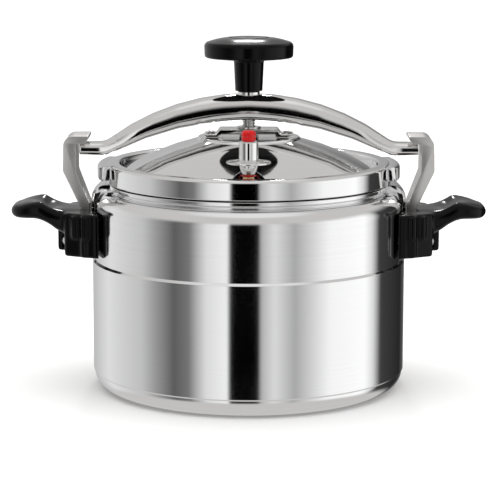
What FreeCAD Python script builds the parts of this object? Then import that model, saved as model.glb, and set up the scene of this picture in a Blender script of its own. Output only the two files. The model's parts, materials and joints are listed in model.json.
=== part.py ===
"""Clamp-lid pressure canner: pot with hooks and handles, domed lid, screw yoke, valves and canning rack.

Frame: +Z up, origin at the middle of the pot's base, side handles along X, working valve towards -Y.
Every length is in millimetres and is driven by the cells of the Sizes sheet.
"""

import FreeCAD, Part
import math
import os

import Sketcher

Vector = FreeCAD.Vector

# Driving dimensions: alias, value, meaning.
DIMENSIONS = [
    ("pot_radius", 120.0, "outer radius of the lower body"),
    ("body_radius", 118.0, "outer radius of the upper body"),
    ("pot_wall", 3.0, "thickness of the upper body's wall"),
    ("base_thickness", 4.0, "thickness of the pot's base"),
    ("heel_height", 13.5, "height of the rounded heel of the base"),
    ("band_bottom", 98.6, "lower edge of the step round the body"),
    ("band_top", 101.9, "upper edge of the step round the body"),
    ("shoulder_radius", 12.5, "rounding of the shoulder"),
    ("shoulder_top", 152.5, "height of the shoulder's top"),
    ("neck_radius", 105.0, "outer radius of the neck"),
    ("neck_wall", 3.5, "thickness of the neck"),
    ("rim_top", 165.3, "height of the pot's rim"),
    ("flange_radius", 107.3, "radius of the bead under the lid"),
    ("skirt_radius", 109.0, "outer radius of the lid's skirt"),
    ("skirt_bottom", 158.8, "lower edge of the lid's skirt"),
    ("lid_wall", 2.2, "thickness of the lid"),
    ("lid_rim_top", 173.8, "top of the lid's raised rim"),
    ("gutter_radius", 98.5, "radius of the wall inside the lid's rim"),
    ("gutter_floor", 166.5, "height of the gutter inside the rim"),
    ("plateau_radius", 39.0, "radius of the flat top of the lid"),
    ("plateau_height", 193.2, "height of the flat top of the lid"),
    ("lug_radius", 115.8, "outer radius of the lid's side lugs"),
    ("lug_half_width", 32.0, "half the width of a lid lug"),
    ("lug_bottom", 162.4, "lower edge of a lid lug"),
    ("valve_place", 90.0, "distance of the working valve from the middle"),
    ("relief_place", 88.0, "distance of the relief valve from the middle"),
    ("valve_foot", 175.8, "height where the working valve's weight sits"),
    ("vent_bottom", 161.5, "lower end of the working valve's pipe"),
    ("relief_foot", 177.3, "height of the relief valve's seat"),
    ("screw_radius", 5.0, "radius of the clamping screw"),
    ("screw_bottom", 193.5, "lowest point of the clamping screw"),
    ("knob_radius", 34.0, "outer radius of the knob"),
    ("knob_top", 268.6, "top of the knob"),
    ("yoke_crown", 225.7, "top of the yoke at the middle"),
    ("yoke_belly", 205.9, "underside of the yoke at the middle"),
    ("yoke_half_width", 14.0, "half the width of the yoke at the middle"),
    ("yoke_reach", 129.2, "distance of the yoke's ends from the middle"),
    ("hook_half_width", 16.0, "half the width of a hook at its top"),
    ("clearance", 0.3, "room between pieces that move apart"),
    ("rack_radius", 100.0, "radius of the canning rack, which has to pass the neck"),
    ("rack_height", 18.0, "height of the canning rack's plate"),
]

SIZES = {alias: number for alias, number, meaning in DIMENSIONS}

ALONG_X = "YZ_Plane"
FRONT = "XZ_Plane"
PLAN = "XY_Plane"


def value(text):
    """The number that a sum of aliases and numbers stands for, such as "neck_radius - neck_wall * 0.5"."""
    total = 0.0
    sign = 1.0
    product = None
    for word in str(text).split():
        if word in ("+", "-"):
            if product is not None:
                total += sign * product
                product = None
            sign = -1.0 if word == "-" else 1.0
        elif word != "*":
            factor = SIZES[word] if word in SIZES else float(word)
            product = factor if product is None else product * factor
    return total + sign * product


def expression(text):
    """The same sum as a FreeCAD expression on the Sizes sheet."""
    words = ["Sizes." + word if word in SIZES else word for word in str(text).split()]
    return " ".join(words)


def make_sheet(doc):
    """Writes the driving dimensions into the Sizes sheet."""
    sheet = doc.addObject("Spreadsheet::Sheet", "Sizes")
    for row, (alias, number, meaning) in enumerate(DIMENSIONS, start=1):
        sheet.set("A%d" % row, meaning)
        sheet.set("B%d" % row, str(number))
        sheet.setAlias("B%d" % row, alias)
    doc.recompute()


def arc_between(start, end, radius):
    """Minor arc from start to end; a positive radius turns left. Returns the arc and whether it runs forwards."""
    chord = end - start
    middle = (start + end) * 0.5
    half = chord.Length / 2
    left = Vector(-chord.y, chord.x, 0).normalize()
    height = math.sqrt(max(radius * radius - half * half, 0.0))
    forwards = radius > 0
    centre = middle + left * (height if forwards else -height)
    first, last = (start, end) if forwards else (end, start)
    begin = math.atan2(first.y - centre.y, first.x - centre.x)
    finish = math.atan2(last.y - centre.y, last.x - centre.x)
    circle = Part.Circle(centre, Vector(0, 0, 1), abs(radius))
    return Part.ArcOfCircle(circle, begin, finish), forwards


def bind(sketch, kind, place, text):
    """Fixes one coordinate of a sketch point to a sum of the sheet's cells."""
    if abs(value(text)) < 1e-9:
        axis = -2 if kind == "DistanceX" else -1
        sketch.addConstraint(Sketcher.Constraint("PointOnObject", place[0], place[1], axis))
        return
    number = sketch.addConstraint(Sketcher.Constraint(kind, -1, 1, place[0], place[1], value(text)))
    sketch.setExpression("Constraints[%d]" % number, expression(text))


def outline(sketch, points):
    """Draws a closed outline. A point is (across, up) or (across, up, radius), the radius of the arc that ends there."""
    places = [Vector(value(point[0]), value(point[1]), 0) for point in points]
    starts = []
    ends = []
    for number, point in enumerate(points):
        start = places[number - 1]
        end = places[number]
        if len(point) == 3:
            arc, forwards = arc_between(start, end, value(point[2]))
            line = sketch.addGeometry(arc)
            radius = sketch.addConstraint(Sketcher.Constraint("Radius", line, abs(value(point[2]))))
            sign = "" if forwards else "-1 * "
            sketch.setExpression("Constraints[%d]" % radius, sign + "(" + expression(point[2]) + ")")
        else:
            line = sketch.addGeometry(Part.LineSegment(start, end))
            forwards = True
        starts.append((line, 1 if forwards else 2))
        ends.append((line, 2 if forwards else 1))
    for number, point in enumerate(points):
        following = (number + 1) % len(points)
        tail = ends[number]
        head = starts[following]
        sketch.addConstraint(Sketcher.Constraint("Coincident", tail[0], tail[1], head[0], head[1]))
        bind(sketch, "DistanceX", tail, point[0])
        bind(sketch, "DistanceY", tail, point[1])


def circle(sketch, across, up, radius):
    """Draws a circle whose centre and radius are bound to the sheet."""
    shape = Part.Circle(Vector(value(across), value(up), 0), Vector(0, 0, 1), value(radius))
    line = sketch.addGeometry(shape)
    bind(sketch, "DistanceX", (line, 3), across)
    bind(sketch, "DistanceY", (line, 3), up)
    number = sketch.addConstraint(Sketcher.Constraint("Radius", line, value(radius)))
    sketch.setExpression("Constraints[%d]" % number, expression(radius))


def new_body(doc, label):
    body = doc.addObject("PartDesign::Body", label)
    body.Label = label
    return body


def new_sketch(body, plane, name):
    """A sketch on one of the body's own origin planes."""
    support = [item for item in body.Origin.OriginFeatures if item.Role == plane][0]
    sketch = body.newObject("Sketcher::SketchObject", name)
    sketch.AttachmentSupport = [(support, "")]
    sketch.MapMode = "FlatFace"
    return sketch


def revolve(body, points, name="profile"):
    """Turns a closed outline (radius, height) once round the body's Z axis."""
    sketch = new_sketch(body, FRONT, body.Label + "_" + name)
    outline(sketch, points)
    turned = body.newObject("PartDesign::Revolution", body.Label + "_turned")
    turned.Profile = sketch
    turned.ReferenceAxis = (sketch, ["V_Axis"])
    turned.Angle = 360
    return turned


def pad(body, plane, points, length, name="side"):
    """Pads an outline by length, half to each side of its plane."""
    sketch = new_sketch(body, plane, body.Label + "_" + name)
    outline(sketch, points)
    raised = body.newObject("PartDesign::Pad", body.Label + "_" + name + "_pad")
    raised.Profile = sketch
    raised.Midplane = True
    raised.setExpression("Length", expression(length))
    return raised


def trim(body, plane, points, frame, name):
    """Cuts away everything of the body that lies outside an outline, within a big rectangle."""
    low_across, low_up, high_across, high_up = frame
    sketch = new_sketch(body, plane, body.Label + "_" + name)
    outline(sketch, [(low_across, low_up), (high_across, low_up), (high_across, high_up), (low_across, high_up)])
    outline(sketch, points)
    return cut(body, sketch, name)


def cut(body, sketch, name, length=600):
    """Cuts a sketch through the body, both ways from the sketch's plane."""
    pocket = body.newObject("PartDesign::Pocket", body.Label + "_" + name + "_cut")
    pocket.Profile = sketch
    pocket.Midplane = True
    pocket.Length = length
    return pocket


def holes(body, plane, circles, name):
    """Cuts round holes through the body, given as (across, up, radius)."""
    sketch = new_sketch(body, plane, body.Label + "_" + name)
    for across, up, radius in circles:
        circle(sketch, across, up, radius)
    return cut(body, sketch, name)


def block(doc, label, low, high):
    """A rectangular block between two corners."""
    box = doc.addObject("Part::Box", label)
    for side, first, last in zip(("Length", "Width", "Height"), low, high):
        box.setExpression(side, "(" + expression(last) + ") - (" + expression(first) + ")")
    for axis, first in zip("xyz", low):
        box.setExpression(".Placement.Base." + axis, expression(first))
    return box


def rod(doc, label, place, radius, length, along=Vector(0, 0, 1)):
    """A round rod from a place, along an axis."""
    bar = doc.addObject("Part::Cylinder", label)
    bar.setExpression("Radius", expression(radius))
    bar.setExpression("Height", expression(length))
    bar.Placement.Rotation = FreeCAD.Rotation(Vector(0, 0, 1), along)
    for axis, text in zip("xyz", place):
        bar.setExpression(".Placement.Base." + axis, expression(text))
    return bar


def mirrored(doc, source, label):
    """The same piece for the other side of the pot."""
    twin = doc.addObject("Part::Mirroring", label)
    twin.Label = label
    twin.Source = source
    twin.Normal = Vector(1, 0, 0)
    return twin


def joined(doc, label, pieces):
    """Touching or overlapping pieces made one solid, or separate pieces kept together."""
    fuse = doc.addObject("Part::MultiFuse", label)
    fuse.Label = label
    fuse.Shapes = pieces
    fuse.Refine = True
    return fuse


def carved(doc, label, base, tools):
    """A piece with one or more tools cut out of it."""
    tool = tools[0] if len(tools) == 1 else joined(doc, label + "_tools", tools)
    rest = doc.addObject("Part::Cut", label)
    rest.Label = label
    rest.Base = base
    rest.Tool = tool
    rest.Refine = True
    return rest


def stand_at(body, along_y):
    """Moves a turned body's axis to a place on the Y axis."""
    body.setExpression(".Placement.Base.y", expression(along_y))


# ---------------------------------------------------------------- pot

def make_pot(doc):
    """Drawn aluminium pot with a stepped wall, a rounded shoulder, a beaded neck and two beak-shaped ears."""
    shell = new_body(doc, "pot_turned_shell")
    revolve(shell, [
        ("0", "0"),
        ("pot_radius - 14.2", "0"),
        ("pot_radius - 0.7", "heel_height", "13.5"),
        ("pot_radius", "heel_height + 0.7"),
        ("pot_radius", "band_bottom"),
        ("body_radius", "band_top"),
        ("body_radius", "shoulder_top - shoulder_radius"),
        ("body_radius - shoulder_radius", "shoulder_top", "shoulder_radius"),
        ("neck_radius", "shoulder_top"),
        ("neck_radius", "shoulder_top + 1.4"),
        ("flange_radius", "shoulder_top + 2"),
        ("flange_radius", "shoulder_top + 5"),
        ("neck_radius", "shoulder_top + 5.6"),
        ("neck_radius", "rim_top"),
        ("neck_radius - neck_wall", "rim_top"),
        ("neck_radius - neck_wall", "shoulder_top - 3"),
        ("body_radius - pot_wall", "shoulder_top - 14", "-16"),
        ("body_radius - pot_wall", "band_top"),
        ("pot_radius - 3.5", "band_bottom - 2"),
        ("pot_radius - 3.5", "base_thickness + 11"),
        ("pot_radius - 14.5", "base_thickness", "-11"),
        ("0", "base_thickness"),
    ])
    ear = new_body(doc, "pot_ear_right")
    pad(ear, FRONT, [
        ("neck_radius - 1", "shoulder_top - 0.5"),
        ("body_radius - 9", "shoulder_top - 0.5"),
        ("body_radius - 0.2", "shoulder_top - 9", "-12"),
        ("body_radius + 0.6", "shoulder_top - 19"),
        ("body_radius + 3", "shoulder_top - 18.5"),
        ("body_radius + 2.6", "shoulder_top - 8"),
        ("neck_radius + 4", "shoulder_top + 5.6", "12.5"),
        ("neck_radius - 1", "shoulder_top + 5.6"),
    ], "44")
    trim(ear, ALONG_X, [
        ("-22", "shoulder_top + 7"),
        ("-22", "shoulder_top - 3"),
        ("-5", "shoulder_top - 18.8", "26"),
        ("5", "shoulder_top - 18.8"),
        ("22", "shoulder_top - 3", "26"),
        ("22", "shoulder_top + 7"),
    ], ("-40", "100", "40", "200"), "beak")
    doc.recompute()
    return joined(doc, "pot_shell", [shell, ear, mirrored(doc, ear, "pot_ear_left")])


def make_hook(doc):
    """Forged hook of the pot: a tang behind the handle, a leaning arm and a lip over the yoke's end."""
    hook = new_body(doc, "hook_right")
    pad(hook, FRONT, [
        ("body_radius + 0.6", "104"),
        ("pot_radius + 1.3", "104"),
        ("pot_radius + 1.3", "124"),
        ("124.2", "129.5"),
        ("141.5", "168"),
        ("140.9", "188"),
        ("134.4", "194.5", "6.6"),
        ("121.5", "194.5"),
        ("121.8", "192.2"),
        ("125", "188.6"),
        ("131.4", "188.6"),
        ("131.2", "166.5"),
        ("121.6", "142"),
        ("121.4", "133"),
        ("body_radius + 0.6", "129.5"),
    ], "60")
    trim(hook, ALONG_X, [
        ("-18", "103"),
        ("18", "103"),
        ("18", "119"),
        ("11", "124"),
        ("11", "140"),
        ("hook_half_width", "176"),
        ("hook_half_width", "198"),
        ("-1 * hook_half_width", "198"),
        ("-1 * hook_half_width", "176"),
        ("-11", "140"),
        ("-11", "124"),
        ("-18", "119"),
    ], ("-60", "60", "60", "260"), "taper")
    holes(hook, ALONG_X, [("-13", "114", "3.2"), ("13", "114", "3.2")], "stud_holes")
    return hook


def make_handle(doc):
    """Moulded side handle: a block that hugs the pot, a web between two nut recesses and a grip."""
    solid = new_body(doc, "handle_right_solid")
    pad(solid, FRONT, [
        ("108", "104.2"),
        ("138.5", "104.2"),
        ("140.2", "105.9", "1.8"),
        ("140.2", "119"),
        ("147", "123"),
        ("162", "131.2", "-34"),
        ("176.4", "131.2"),
        ("182.3", "137.6", "6.2"),
        ("176", "142.2", "9"),
        ("158", "146.3", "60"),
        ("138", "138.4", "38"),
        ("129.5", "138"),
        ("108", "136.6"),
    ], "84")
    trim(solid, PLAN, [
        ("108", "-42"),
        ("117", "-42"),
        ("140.2", "-29.5"),
        ("163", "-26"),
        ("182.4", "-8", "24"),
        ("182.4", "8"),
        ("163", "26", "24"),
        ("140.2", "29.5"),
        ("117", "42"),
        ("108", "42"),
    ], ("60", "-80", "240", "80"), "plan")
    arm_room = new_sketch(solid, FRONT, "handle_right_arm_room")
    outline(arm_room, [
        ("100", "120"),
        ("pot_radius + 1.7", "120"),
        ("pot_radius + 1.7", "124.2"),
        ("124.8", "129.2"),
        ("133.5", "147.2"),
        ("133.5", "160"),
        ("100", "160"),
    ])
    cut(solid, arm_room, "arm_room", 26)
    tools = [
        rod(doc, "handle_pot_room", ("0", "0", "90"), "pot_radius + 0.4", "60"),
        block(doc, "handle_tang_room", ("100", "-18.5", "102"), ("pot_radius + 1.7", "18.5", "126")),
    ]
    for side, name in ((-1, "front"), (1, "back")):
        near = "7" if side > 0 else "-19"
        far = "19" if side > 0 else "-7"
        middle = "13" if side > 0 else "-13"
        tools.append(block(doc, "handle_recess_" + name, ("126", near, "100"), ("160", far, "121")))
        tools.append(rod(doc, "handle_stud_room_" + name, ("110", middle, "114"), "3.2", "30", Vector(1, 0, 0)))
    shaped = carved(doc, "handle_right_shaped", solid, tools)
    web = block(doc, "handle_web", ("130", "-7", "106"), ("147", "7", "124"))
    return joined(doc, "handle_right", [shaped, web])


def make_handle_fixings(doc):
    """Studs welded to the pot's wall, and the domed nuts that hold the handles and hooks on them."""
    studs = []
    nuts = []
    for side in (-1, 1):
        for across in (-13, 13):
            name = "_%s_%s" % ("right" if side > 0 else "left", "back" if across > 0 else "front")
            along = Vector(side, 0, 0)
            middle = str(across)
            start = "%d * 116.8" % side
            studs.append(rod(doc, "stud" + name, (start, middle, "114"), "3", "20", along))
            nut = rod(doc, "nut_body" + name, ("%d * 126" % side, middle, "114"), "5.4", "16.5", along)
            bore = rod(doc, "nut_bore" + name, ("%d * 125" % side, middle, "114"), "3", "11.8", along)
            nuts.append(carved(doc, "nut" + name, nut, [bore]))
    return joined(doc, "handle_studs", studs), joined(doc, "handle_nuts", nuts)


# ---------------------------------------------------------------- lid

def make_lid(doc):
    """Domed lid with a flat top, a gutter, a raised rim that holds the gasket and two side lugs."""
    lid = new_body(doc, "lid_turned")
    revolve(lid, [
        ("0", "plateau_height"),
        ("0", "plateau_height - lid_wall"),
        ("plateau_radius - 1.5", "plateau_height - lid_wall"),
        ("94", "167.2", "-225"),
        ("97.5", "gutter_floor - lid_wall"),
        ("gutter_radius + 0.8", "gutter_floor - lid_wall"),
        ("gutter_radius + lid_wall", "gutter_floor - 0.8", "1.4"),
        ("gutter_radius + lid_wall", "lid_rim_top - lid_wall"),
        ("skirt_radius - lid_wall", "lid_rim_top - lid_wall"),
        ("skirt_radius - lid_wall", "skirt_bottom"),
        ("skirt_radius - 0.6", "skirt_bottom"),
        ("skirt_radius", "skirt_bottom + 0.6"),
        ("skirt_radius", "lid_rim_top - 3"),
        ("skirt_radius - 3", "lid_rim_top", "3"),
        ("gutter_radius + 1.5", "lid_rim_top"),
        ("gutter_radius", "lid_rim_top - 1.5", "1.5"),
        ("gutter_radius", "gutter_floor + 1"),
        ("gutter_radius - 1", "gutter_floor", "-1"),
        ("97.2", "gutter_floor"),
        ("94.8", "169.2"),
        ("plateau_radius + 1", "plateau_height - 2", "225"),
        ("plateau_radius", "plateau_height - 1"),
        ("plateau_radius - 1", "plateau_height", "1"),
    ])
    lugs = new_body(doc, "lid_lug_ring")
    revolve(lugs, [
        ("skirt_radius - 1", "lug_bottom"),
        ("lug_radius - 0.6", "lug_bottom"),
        ("lug_radius", "lug_bottom + 0.6"),
        ("lug_radius", "lid_rim_top - 3.8"),
        ("lug_radius - 3", "lid_rim_top - 0.8", "3"),
        ("skirt_radius - 1", "lid_rim_top - 0.8"),
    ])
    span = block(
        doc, "lid_lug_span",
        ("-1 * lug_radius - 2", "-1 * lug_half_width", "lug_bottom - 1"),
        ("lug_radius + 2", "lug_half_width", "lid_rim_top"),
    )
    lug_pair = doc.addObject("Part::Common", "lid_lug_pair")
    lug_pair.Base = lugs
    lug_pair.Tool = span
    bosses = [
        rod(doc, "vent_boss", ("0", "-1 * valve_place", "167"), "6.5", "valve_foot - 168.5"),
        rod(doc, "relief_boss", ("0", "relief_place", "168"), "9", "relief_foot - 168"),
    ]
    plain = joined(doc, "lid_plain", [lid, lug_pair] + bosses)
    return carved(doc, "lid_shell", plain, [
        rod(doc, "vent_hole", ("0", "-1 * valve_place", "150"), "4", "60"),
        rod(doc, "vent_seat", ("0", "-1 * valve_place", "valve_foot - 1.5"), "5.5", "10"),
        rod(doc, "relief_hole", ("0", "relief_place", "150"), "5", "60"),
        rod(doc, "rivet_hole_left", ("-29", "0", "150"), "2.5", "60"),
        rod(doc, "rivet_hole_right", ("29", "0", "150"), "2.5", "60"),
    ])


def make_gasket(doc):
    """Silicone ring in the lid's rim, pressed on the pot's rim when the yoke is tight."""
    gasket = new_body(doc, "sealing_gasket")
    revolve(gasket, [
        ("gutter_radius + lid_wall + 0.1", "rim_top + clearance"),
        ("skirt_radius - lid_wall - 0.1", "rim_top + clearance"),
        ("skirt_radius - lid_wall - 0.1", "lid_rim_top - lid_wall"),
        ("gutter_radius + lid_wall + 0.1", "lid_rim_top - lid_wall"),
    ])
    return gasket


def make_bridge(doc):
    """Steel bridge on the lid's flat top, which keeps the screw's foot."""
    bridge = new_body(doc, "lid_bridge")
    pad(bridge, FRONT, [
        ("-34", "plateau_height"),
        ("-20", "plateau_height"),
        ("-20", "plateau_height + 2.3"),
        ("20", "plateau_height + 2.3"),
        ("20", "plateau_height"),
        ("34", "plateau_height"),
        ("34", "plateau_height + 2"),
        ("25", "plateau_height + 2"),
        ("22", "plateau_height + 5.8"),
        ("-22", "plateau_height + 5.8"),
        ("-25", "plateau_height + 2"),
        ("-34", "plateau_height + 2"),
    ], "24")
    holes(bridge, PLAN, [("0", "0", "screw_radius + 0.6"), ("-29", "0", "2.5"), ("29", "0", "2.5")], "holes")
    return bridge


def make_rivets(doc):
    """Two domed rivets that hold the bridge on the lid."""
    rivets = []
    for side, name in (("-29", "left"), ("29", "right")):
        rivet = new_body(doc, "rivet_" + name)
        revolve(rivet, [
            ("0", "plateau_height - lid_wall - 1.6"),
            ("4", "plateau_height - lid_wall - 1.6"),
            ("4", "plateau_height - lid_wall"),
            ("2.5", "plateau_height - lid_wall"),
            ("2.5", "plateau_height + 2"),
            ("4.4", "plateau_height + 2"),
            ("0.8", "plateau_height + 4.3", "5"),
            ("0", "plateau_height + 4.3"),
        ])
        rivet.setExpression(".Placement.Base.x", expression(side))
        rivets.append(rivet)
    return joined(doc, "bridge_rivets", rivets)


def hexagon(doc, label, place, across_flats, length):
    """A hexagonal prism, as of a nut."""
    prism = doc.addObject("Part::Prism", label)
    prism.Polygon = 6
    prism.Circumradius = value(across_flats) / math.sqrt(3)
    prism.setExpression("Circumradius", "(" + expression(across_flats) + ") / sqrt(3)")
    prism.setExpression("Height", expression(length))
    for axis, text in zip("xyz", place):
        prism.setExpression(".Placement.Base." + axis, expression(text))
    return prism


def make_vent(doc):
    """Working valve's fixed pieces: pipe, red seal, nut under the lid and strainer."""
    pipe = new_body(doc, "vent_pipe")
    revolve(pipe, [
        ("1", "vent_bottom"),
        ("4", "vent_bottom"),
        ("4", "valve_foot - 1.5"),
        ("2.4", "valve_foot - 1.5"),
        ("2.4", "valve_foot + 11"),
        ("1.4", "valve_foot + 12.5"),
        ("1", "valve_foot + 12.5"),
    ])
    seal = new_body(doc, "vent_seal")
    revolve(seal, [
        ("2.4", "valve_foot - 1.5"),
        ("5", "valve_foot - 1.5"),
        ("5", "valve_foot - 0.6"),
        ("4.4", "valve_foot"),
        ("2.4", "valve_foot"),
    ])
    strainer = new_body(doc, "vent_strainer")
    revolve(strainer, [
        ("4", "vent_bottom"),
        ("5.6", "vent_bottom"),
        ("5.6", "vent_bottom - 4"),
        ("4.6", "vent_bottom - 5"),
        ("0", "vent_bottom - 5"),
        ("0", "vent_bottom - 4"),
        ("4", "vent_bottom - 4"),
    ])
    holes(strainer, FRONT, [("0", "vent_bottom - 2", "1.1")], "side_holes")
    for body in (pipe, seal, strainer):
        stand_at(body, "-1 * valve_place")
    nut = carved(doc, "vent_nut", hexagon(doc, "vent_nut_solid", ("0", "-1 * valve_place", "vent_bottom"), "10", "4"), [
        rod(doc, "vent_nut_bore", ("0", "-1 * valve_place", "160"), "4", "12"),
    ])
    return [pipe, seal, strainer, nut]


def make_weight(doc):
    """Working valve's weight: turned body on the vent pipe, drip disc and red cap."""
    weight = new_body(doc, "weight_body")
    revolve(weight, [
        ("2.7", "valve_foot + clearance"),
        ("4.4", "valve_foot + clearance"),
        ("6.7", "valve_foot + 7.5", "14"),
        ("7", "valve_foot + 7.9"),
        ("7", "valve_foot + 23.4"),
        ("6.4", "valve_foot + 24"),
        ("0", "valve_foot + 24"),
        ("0", "valve_foot + 14"),
        ("2.7", "valve_foot + 14"),
    ])
    disc = new_body(doc, "weight_disc")
    revolve(disc, [
        ("7", "valve_foot + 9.1"),
        ("16.3", "valve_foot + 9.1"),
        ("16.3", "valve_foot + 10.3"),
        ("7", "valve_foot + 10.3"),
    ])
    cap = new_body(doc, "weight_cap")
    revolve(cap, [
        ("0", "valve_foot + 24"),
        ("4.4", "valve_foot + 24"),
        ("5.3", "valve_foot + 26", "3"),
        ("5.3", "valve_foot + 29.4"),
        ("2.6", "valve_foot + 32.2", "2.9"),
        ("0", "valve_foot + 32.2"),
    ])
    for body in (weight, disc, cap):
        stand_at(body, "-1 * valve_place")
    return [weight, disc, cap]


def make_relief(doc):
    """Over-pressure valve at the back of the lid: housing, nut and the plug that is blown up."""
    lower = rod(doc, "relief_neck", ("0", "relief_place", "160.5"), "5", "relief_foot - 160.5")
    upper = hexagon(doc, "relief_hexagon", ("0", "relief_place", "relief_foot"), "15", "6")
    bore = rod(doc, "relief_bore", ("0", "relief_place", "150"), "3.3", "60")
    housing = carved(doc, "relief_housing", joined(doc, "relief_solid", [lower, upper]), [bore])
    nut_solid = hexagon(doc, "relief_nut_solid", ("0", "relief_place", "161.4"), "15", "4.5")
    nut_bore = rod(doc, "relief_nut_bore", ("0", "relief_place", "160"), "5", "12")
    plug = new_body(doc, "relief_plug")
    revolve(plug, [
        ("0", "164"),
        ("3", "164"),
        ("3", "relief_foot + 6 + clearance"),
        ("5", "relief_foot + 6 + clearance"),
        ("5", "relief_foot + 7.6"),
        ("3.4", "relief_foot + 9", "2.4"),
        ("0", "relief_foot + 9"),
    ])
    stand_at(plug, "relief_place")
    return [housing, carved(doc, "relief_nut", nut_solid, [nut_bore]), plug]


# ---------------------------------------------------------------- screw and yoke

def make_screw(doc):
    """Clamping screw with its captive foot, moulded knob, cap disc and cross pin."""
    spindle = new_body(doc, "screw_spindle")
    revolve(spindle, [
        ("0", "screw_bottom"),
        ("7.5", "screw_bottom"),
        ("7.5", "screw_bottom + 1.7"),
        ("screw_radius", "screw_bottom + 1.7"),
        ("screw_radius", "knob_top - 8"),
        ("0", "knob_top - 8"),
    ])
    holes(spindle, FRONT, [("0", "238", "1.5")], "pin_hole")
    knob = new_body(doc, "knob")
    revolve(knob, [
        ("screw_radius", "227.9"),
        ("10.4", "227.9"),
        ("11.4", "249.2"),
        ("13.4", "251.2", "-2"),
        ("knob_radius - 2", "253.2"),
        ("knob_radius - 0.2", "255.2", "2"),
        ("knob_radius", "261.5"),
        ("knob_radius - 3", "265.3", "3.8"),
        ("15", "knob_top", "62"),
        ("14.6", "knob_top - 1.2"),
        ("0", "knob_top - 1.2"),
        ("0", "knob_top - 8"),
        ("screw_radius", "knob_top - 8"),
    ])
    holes(knob, FRONT, [("0", "238", "1.5")], "pin_hole")
    cap = new_body(doc, "knob_cap")
    revolve(cap, [
        ("0", "knob_top - 1.2"),
        ("14.2", "knob_top - 1.2"),
        ("14.2", "knob_top - 0.4"),
        ("13.6", "knob_top + 0.2"),
        ("0", "knob_top + 0.2"),
    ])
    pin = rod(doc, "knob_pin", ("0", "-9.3", "238"), "1.5", "18.6", Vector(0, 1, 0))
    return [spindle, knob, cap, pin]


def make_washer(doc):
    """Loose washer on the screw between the lid's bridge and the yoke."""
    washer = new_body(doc, "swivel_washer")
    revolve(washer, [
        ("screw_radius + clearance", "plateau_height + 6.1"),
        ("9.2", "plateau_height + 6.1"),
        ("9.2", "plateau_height + 7.3"),
        ("screw_radius + clearance", "plateau_height + 7.3"),
    ])
    return washer


def make_yoke(doc):
    """Arched yoke that the hooks hold at both ends, with its threaded bush."""
    beam = new_body(doc, "yoke_beam")
    pad(beam, FRONT, [
        ("-1 * yoke_reach", "179.4"),
        ("-112", "178.8"),
        ("-104", "181", "-18"),
        ("0", "yoke_belly", "-229.6"),
        ("104", "181", "-229.6"),
        ("112", "178.8", "-18"),
        ("yoke_reach", "179.4"),
        ("yoke_reach", "188.2"),
        ("114.2", "188.5"),
        ("106", "191.2", "-14"),
        ("0", "yoke_crown", "180"),
        ("-106", "191.2", "180"),
        ("-114.2", "188.5", "-14"),
        ("-1 * yoke_reach", "188.2"),
    ], "60")
    trim(beam, PLAN, [
        ("-60", "-1 * yoke_half_width"),
        ("60", "-1 * yoke_half_width"),
        ("112", "-10"),
        ("yoke_reach - 3", "-9"),
        ("yoke_reach", "-6"),
        ("yoke_reach", "6"),
        ("yoke_reach - 3", "9"),
        ("112", "10"),
        ("60", "yoke_half_width"),
        ("-60", "yoke_half_width"),
        ("-112", "10"),
        ("3 - yoke_reach", "9"),
        ("-1 * yoke_reach", "6"),
        ("-1 * yoke_reach", "-6"),
        ("3 - yoke_reach", "-9"),
        ("-112", "-10"),
    ], ("-200", "-80", "200", "80"), "plan")
    holes(beam, PLAN, [("0", "0", "8")], "bush_hole")
    bush = new_body(doc, "yoke_bush")
    revolve(bush, [
        ("screw_radius + clearance", "yoke_belly"),
        ("8", "yoke_belly"),
        ("8", "yoke_crown"),
        ("8.3", "yoke_crown"),
        ("8.3", "yoke_crown + 1.5"),
        ("7.9", "yoke_crown + 1.9"),
        ("screw_radius + clearance", "yoke_crown + 1.9"),
    ])
    return [beam, bush]


# ---------------------------------------------------------------- canning rack

def make_rack(doc):
    """Loose rack that keeps jars off the pot's base: a perforated plate on a ring."""
    plate = new_body(doc, "rack_plate_blank")
    revolve(plate, [
        ("0", "rack_height"),
        ("rack_radius", "rack_height"),
        ("rack_radius", "rack_height + 1.5"),
        ("0", "rack_height + 1.5"),
    ])
    drills = [rod(doc, "rack_hole_0", ("0", "0", "rack_height - 2"), "7", "6")]
    for ring, (count, reach) in enumerate(((6, 30), (12, 57), (18, 82)), start=1):
        for number in range(count):
            angle = 2 * math.pi * number / count
            place = (str(round(reach * math.cos(angle), 3)), str(round(reach * math.sin(angle), 3)), "rack_height - 2")
            drills.append(rod(doc, "rack_hole_%d_%d" % (ring, number), place, "7", "6"))
    ring = new_body(doc, "rack_ring")
    revolve(ring, [
        ("rack_radius - 7", "base_thickness + clearance"),
        ("rack_radius - 5.5", "base_thickness + clearance"),
        ("rack_radius - 5.5", "rack_height"),
        ("rack_radius - 7", "rack_height"),
    ])
    return [carved(doc, "rack_plate", plate, drills), ring]


# ---------------------------------------------------------------- run

def check(doc, kept):
    """Stops the run if any object failed or any kept piece isn't a sound solid."""
    doc.recompute()
    for item in doc.Objects:
        if "Invalid" in item.State or "Error" in item.State:
            raise RuntimeError(item.Label + " failed: " + ", ".join(item.State))
    for item in kept:
        if item.Shape.isNull() or not item.Shape.isValid() or not item.Shape.Solids:
            raise RuntimeError(item.Label + " is not a valid solid")


def export(kept):
    """Writes each kept piece to a STEP file of its own name."""
    os.makedirs("parts", exist_ok=True)
    for item in kept:
        path = os.path.join("parts", item.Label + ".step")
        item.Shape.exportStep(path)
        print("%-18s %3d solids %12.1f mm3" % (item.Label, len(item.Shape.Solids), item.Shape.Volume))


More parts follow.
